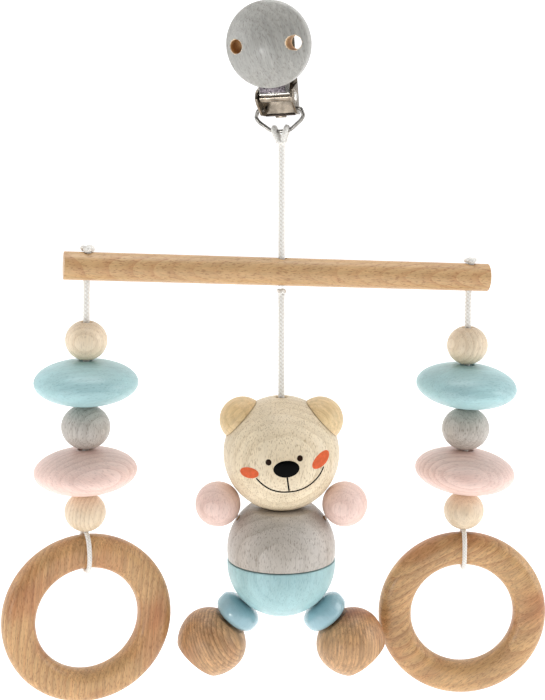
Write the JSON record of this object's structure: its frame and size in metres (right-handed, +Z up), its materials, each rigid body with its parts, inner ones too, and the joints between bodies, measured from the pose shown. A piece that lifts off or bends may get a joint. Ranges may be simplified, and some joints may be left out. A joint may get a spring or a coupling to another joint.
{
  "type": "pram chain",
  "caption": "Wooden pram toy: a metal clip with a round wooden cover holds a cord, a dowel bar, side strands of beads with rings and a jointed bear.",
  "frame": {"origin": "the point where the clip's jaw closes on the pad", "axes": "+Z up, +X to the right of a viewer who faces the bear, -Y towards that viewer"},
  "size_m": [0.24, 0.0732, 0.3096],
  "materials": {
    "grey_stain": "satin stain, grain showing",
    "nickel": "polished nickel plate",
    "clear_plastic": "translucent",
    "cord": "white braid",
    "beech": "natural, oiled",
    "maple": "natural, satin",
    "blue_stain": "satin stain, grain showing",
    "pink_stain": "satin stain, grain showing",
    "blue_gloss": "gloss stain",
    "face_wood": "natural with a painted face"
  },
  "bodies": {
    "clip": {"clip_back_plate": "nickel", "clip_jaw_pad": "clear_plastic", "clip_hinge_pin": "nickel"},
    "clip_front": {"clip_lever": "nickel", "clip_wood_cover": "grey_stain", "cover_screw_upper": "nickel", "cover_screw_lower": "nickel"},
    "bail": {"wire_bail": "nickel", "cord_hitch": "cord"},
    "upper_cord": {"clip_cord_upper": "cord"},
    "lower_cord": {"clip_cord_lower": "cord", "centre_stop_knot": "cord"},
    "bar": {"trapeze_bar": "beech", "left_top_knot": "cord", "right_top_knot": "cord"},
    "bear": {"bear_cord": "cord", "bear_end_knot": "cord"},
    "head": {"bear_head": "face_wood", "ear_left": "face_wood", "ear_right": "face_wood"},
    "chest": {"torso_upper": "grey_stain"},
    "hips": {"torso_lower": "blue_stain"},
    "left_bend": {"left_cord_bend": "cord"},
    "left_strand": {"left_strand_cord": "cord"},
    "left_bottom_bead": {"left_natural_bead_bottom": "maple"},
    "left_pink": {"left_pink_disc": "pink_stain"},
    "left_grey": {"left_grey_bead": "grey_stain"},
    "left_blue": {"left_blue_disc": "blue_stain"},
    "left_top": {"left_natural_bead_top": "maple"},
    "left_loop": {"left_ring_loop": "cord"},
    "left_ring": {"left_ring": "beech"},
    "left_arm": {"left_arm_cord": "cord"},
    "left_hand": {"left_hand": "pink_stain"},
    "left_leg": {"left_leg_cord": "cord"},
    "left_leg_bead": {"left_leg_bead": "blue_gloss"},
    "left_foot": {"left_foot": "beech"},
    "right_bend": {"right_cord_bend": "cord"},
    "right_strand": {"right_strand_cord": "cord"},
    "right_bottom_bead": {"right_natural_bead_bottom": "maple"},
    "right_pink": {"right_pink_disc": "pink_stain"},
    "right_grey": {"right_grey_bead": "grey_stain"},
    "right_blue": {"right_blue_disc": "blue_stain"},
    "right_top": {"right_natural_bead_top": "maple"},
    "right_loop": {"right_ring_loop": "cord"},
    "right_ring": {"right_ring": "beech"},
    "right_arm": {"right_arm_cord": "cord"},
    "right_hand": {"right_hand": "pink_stain"},
    "right_leg": {"right_leg_cord": "cord"},
    "right_leg_bead": {"right_leg_bead": "blue_gloss"},
    "right_foot": {"right_foot": "beech"}
  },
  "joints": [
    {"name": "clip_open", "type": "hinge", "parent": "clip", "child": "clip_front", "pos_m": [0.00145, -0.00325, -0.03298], "axis": [0.9537, -0.2924, 0.0709], "range_deg": [0, 70]},
    {"name": "bail_swing", "type": "hinge", "parent": "clip", "child": "bail", "pos_m": [0.00283, 0, -0.03809], "axis": [0.9537, -0.2924, 0.0709], "range_deg": [-30, 60]},
    {"name": "cord_swing", "type": "hinge", "parent": "bail", "child": "upper_cord", "pos_m": [0.00388, 0, -0.05406], "axis": [0, 1, 0], "range_deg": [-25, 25]},
    {"name": "cord_twist", "type": "hinge", "parent": "upper_cord", "child": "lower_cord", "pos_m": [0.00388, 0, -0.07876], "axis": [0, 0, 1], "range_deg": [-180, 180]},
    {"name": "bar_tilt", "type": "hinge", "parent": "lower_cord", "child": "bar", "pos_m": [0.00388, 0, -0.10706], "axis": [-0.1736, 0.9848, 0], "range_deg": [-10, 4]},
    {"name": "bear_swing", "type": "hinge", "parent": "lower_cord", "child": "bear", "pos_m": [0.00388, 0, -0.11816], "axis": [1, 0, 0], "range_deg": [-20, 0.3]},
    {"name": "left_strand_level", "type": "hinge", "parent": "bar", "child": "left_bend", "pos_m": [-0.07801, -0.01444, -0.10856], "axis": [-0.1736, 0.9848, 0], "range_deg": [-4, 10]},
    {"name": "right_strand_level", "type": "hinge", "parent": "bar", "child": "right_bend", "pos_m": [0.08563, 0.01441, -0.11756], "axis": [-0.1736, 0.9848, 0], "range_deg": [-4, 10]},
    {"name": "left_strand_sway", "type": "hinge", "parent": "left_bend", "child": "left_strand", "pos_m": [-0.07801, -0.01444, -0.10856], "axis": [1, 0, 0], "range_deg": [-15, 15]},
    {"name": "right_strand_sway", "type": "hinge", "parent": "right_bend", "child": "right_strand", "pos_m": [0.08563, 0.01441, -0.11756], "axis": [1, 0, 0], "range_deg": [-0.7, 20]},
    {"name": "left_ring_swing", "type": "hinge", "parent": "left_strand", "child": "left_loop", "pos_m": [-0.08085, -0.01444, -0.21732], "axis": [-0.342, 0.9397, 0], "range_deg": [-1, 20]},
    {"name": "right_ring_swing", "type": "hinge", "parent": "right_strand", "child": "right_loop", "pos_m": [0.08563, 0.01441, -0.22496], "axis": [0, -1, 0], "range_deg": [-0.5, 20]},
    {"name": "left_ring_turn", "type": "hinge", "parent": "left_loop", "child": "left_ring", "pos_m": [-0.08085, -0.01444, -0.25722], "axis": [-0.342, 0.9397, 0], "continuous": true},
    {"name": "right_ring_turn", "type": "hinge", "parent": "right_loop", "child": "right_ring", "pos_m": [0.08563, 0.01441, -0.26486], "axis": [0, 1, 0], "continuous": true},
    {"name": "head_turn", "type": "hinge", "parent": "bear", "child": "head", "pos_m": [0.00388, 0, -0.18686], "axis": [0, 0, 1], "continuous": true},
    {"name": "chest_turn", "type": "hinge", "parent": "bear", "child": "chest", "pos_m": [0.00388, 0, -0.23466], "axis": [0, 0, 1], "continuous": true},
    {"name": "hips_turn", "type": "hinge", "parent": "bear", "child": "hips", "pos_m": [0.00388, 0, -0.23466], "axis": [0, 0, 1], "range_deg": [-90, 1]},
    {"name": "left_arm_swing", "type": "hinge", "parent": "chest", "child": "left_arm", "pos_m": [-0.01502, -0.00239, -0.21561], "axis": [0.548, 0.0692, 0.8336], "range_deg": [-20, 28]},
    {"name": "right_arm_swing", "type": "hinge", "parent": "chest", "child": "right_arm", "pos_m": [0.02279, -0.00239, -0.21561], "axis": [0.548, -0.0692, -0.8336], "range_deg": [-20, 28]},
    {"name": "left_leg_swing", "type": "hinge", "parent": "hips", "child": "left_leg", "pos_m": [-0.01145, 0, -0.25473], "axis": [0.766, 0, -0.6428], "range_deg": [-12, 10]},
    {"name": "right_leg_swing", "type": "hinge", "parent": "hips", "child": "right_leg", "pos_m": [0.01921, 0, -0.25473], "axis": [0.766, 0, 0.6428], "range_deg": [-12, 2]},
    {"name": "left_stack_lift", "type": "slide", "parent": "left_strand", "child": "left_bottom_bead", "axis": [0.0262, 0, 0.9997], "range_m": [0, 0.012]},
    {"name": "right_stack_lift", "type": "slide", "parent": "right_strand", "child": "right_bottom_bead", "axis": [0, 0, 1], "range_m": [0, 0.012]},
    {"name": "left_hand_spin", "type": "hinge", "parent": "left_arm", "child": "left_hand", "pos_m": [-0.02382, -0.0035, -0.20894], "axis": [-0.7927, -0.1001, 0.6014], "continuous": true},
    {"name": "right_hand_spin", "type": "hinge", "parent": "right_arm", "child": "right_hand", "pos_m": [0.03159, -0.0035, -0.20894], "axis": [0.7927, -0.1001, 0.6014], "continuous": true},
    {"name": "left_foot_spin", "type": "hinge", "parent": "left_leg", "child": "left_foot", "pos_m": [-0.01903, 0, -0.26377], "axis": [-0.6428, 0, -0.766], "continuous": true},
    {"name": "right_foot_spin", "type": "hinge", "parent": "right_leg", "child": "right_foot", "pos_m": [0.0268, 0, -0.26377], "axis": [0.6428, 0, -0.766], "continuous": true},
    {"name": "left_leg_bead_spin", "type": "hinge", "parent": "left_leg", "child": "left_leg_bead", "pos_m": [-0.0153, 0, -0.25932], "axis": [-0.6428, 0, -0.766], "continuous": true},
    {"name": "right_leg_bead_spin", "type": "hinge", "parent": "right_leg", "child": "right_leg_bead", "pos_m": [0.02307, 0, -0.25932], "axis": [0.6428, 0, -0.766], "continuous": true},
    {"name": "left_blue_spin", "type": "hinge", "parent": "left_bottom_bead", "child": "left_blue", "pos_m": [-0.07915, -0.01444, -0.15235], "axis": [0, 0, 1], "continuous": true},
    {"name": "left_pink_spin", "type": "hinge", "parent": "left_bottom_bead", "child": "left_pink", "pos_m": [-0.08017, -0.01444, -0.19113], "axis": [-0.0349, 0, 0.9994], "continuous": true},
    {"name": "left_grey_spin", "type": "hinge", "parent": "left_bottom_bead", "child": "left_grey", "pos_m": [-0.07966, -0.01444, -0.17174], "axis": [0.0262, 0, 0.9997], "continuous": true},
    {"name": "left_top_spin", "type": "hinge", "parent": "left_bottom_bead", "child": "left_top", "pos_m": [-0.07868, -0.01444, -0.13415], "axis": [0.0262, 0, 0.9997], "continuous": true},
    {"name": "right_blue_spin", "type": "hinge", "parent": "right_bottom_bead", "child": "right_blue", "pos_m": [0.08563, 0.01441, -0.15996], "axis": [0.0819, 0, 0.9966], "continuous": true},
    {"name": "right_pink_spin", "type": "hinge", "parent": "right_bottom_bead", "child": "right_pink", "pos_m": [0.08563, 0.01441, -0.19876], "axis": [0.0958, 0, 0.9954], "continuous": true},
    {"name": "right_grey_spin", "type": "hinge", "parent": "right_bottom_bead", "child": "right_grey", "pos_m": [0.08563, 0.01441, -0.17936], "axis": [0, 0, 1], "continuous": true},
    {"name": "right_top_spin", "type": "hinge", "parent": "right_bottom_bead", "child": "right_top", "pos_m": [0.08563, 0.01441, -0.14176], "axis": [0, 0, 1], "continuous": true}
  ],
  "couplings": [
    {"joint": "left_strand_level", "follows": "bar_tilt", "ratio": -1},
    {"joint": "right_strand_level", "follows": "bar_tilt", "ratio": -1}
  ]
}
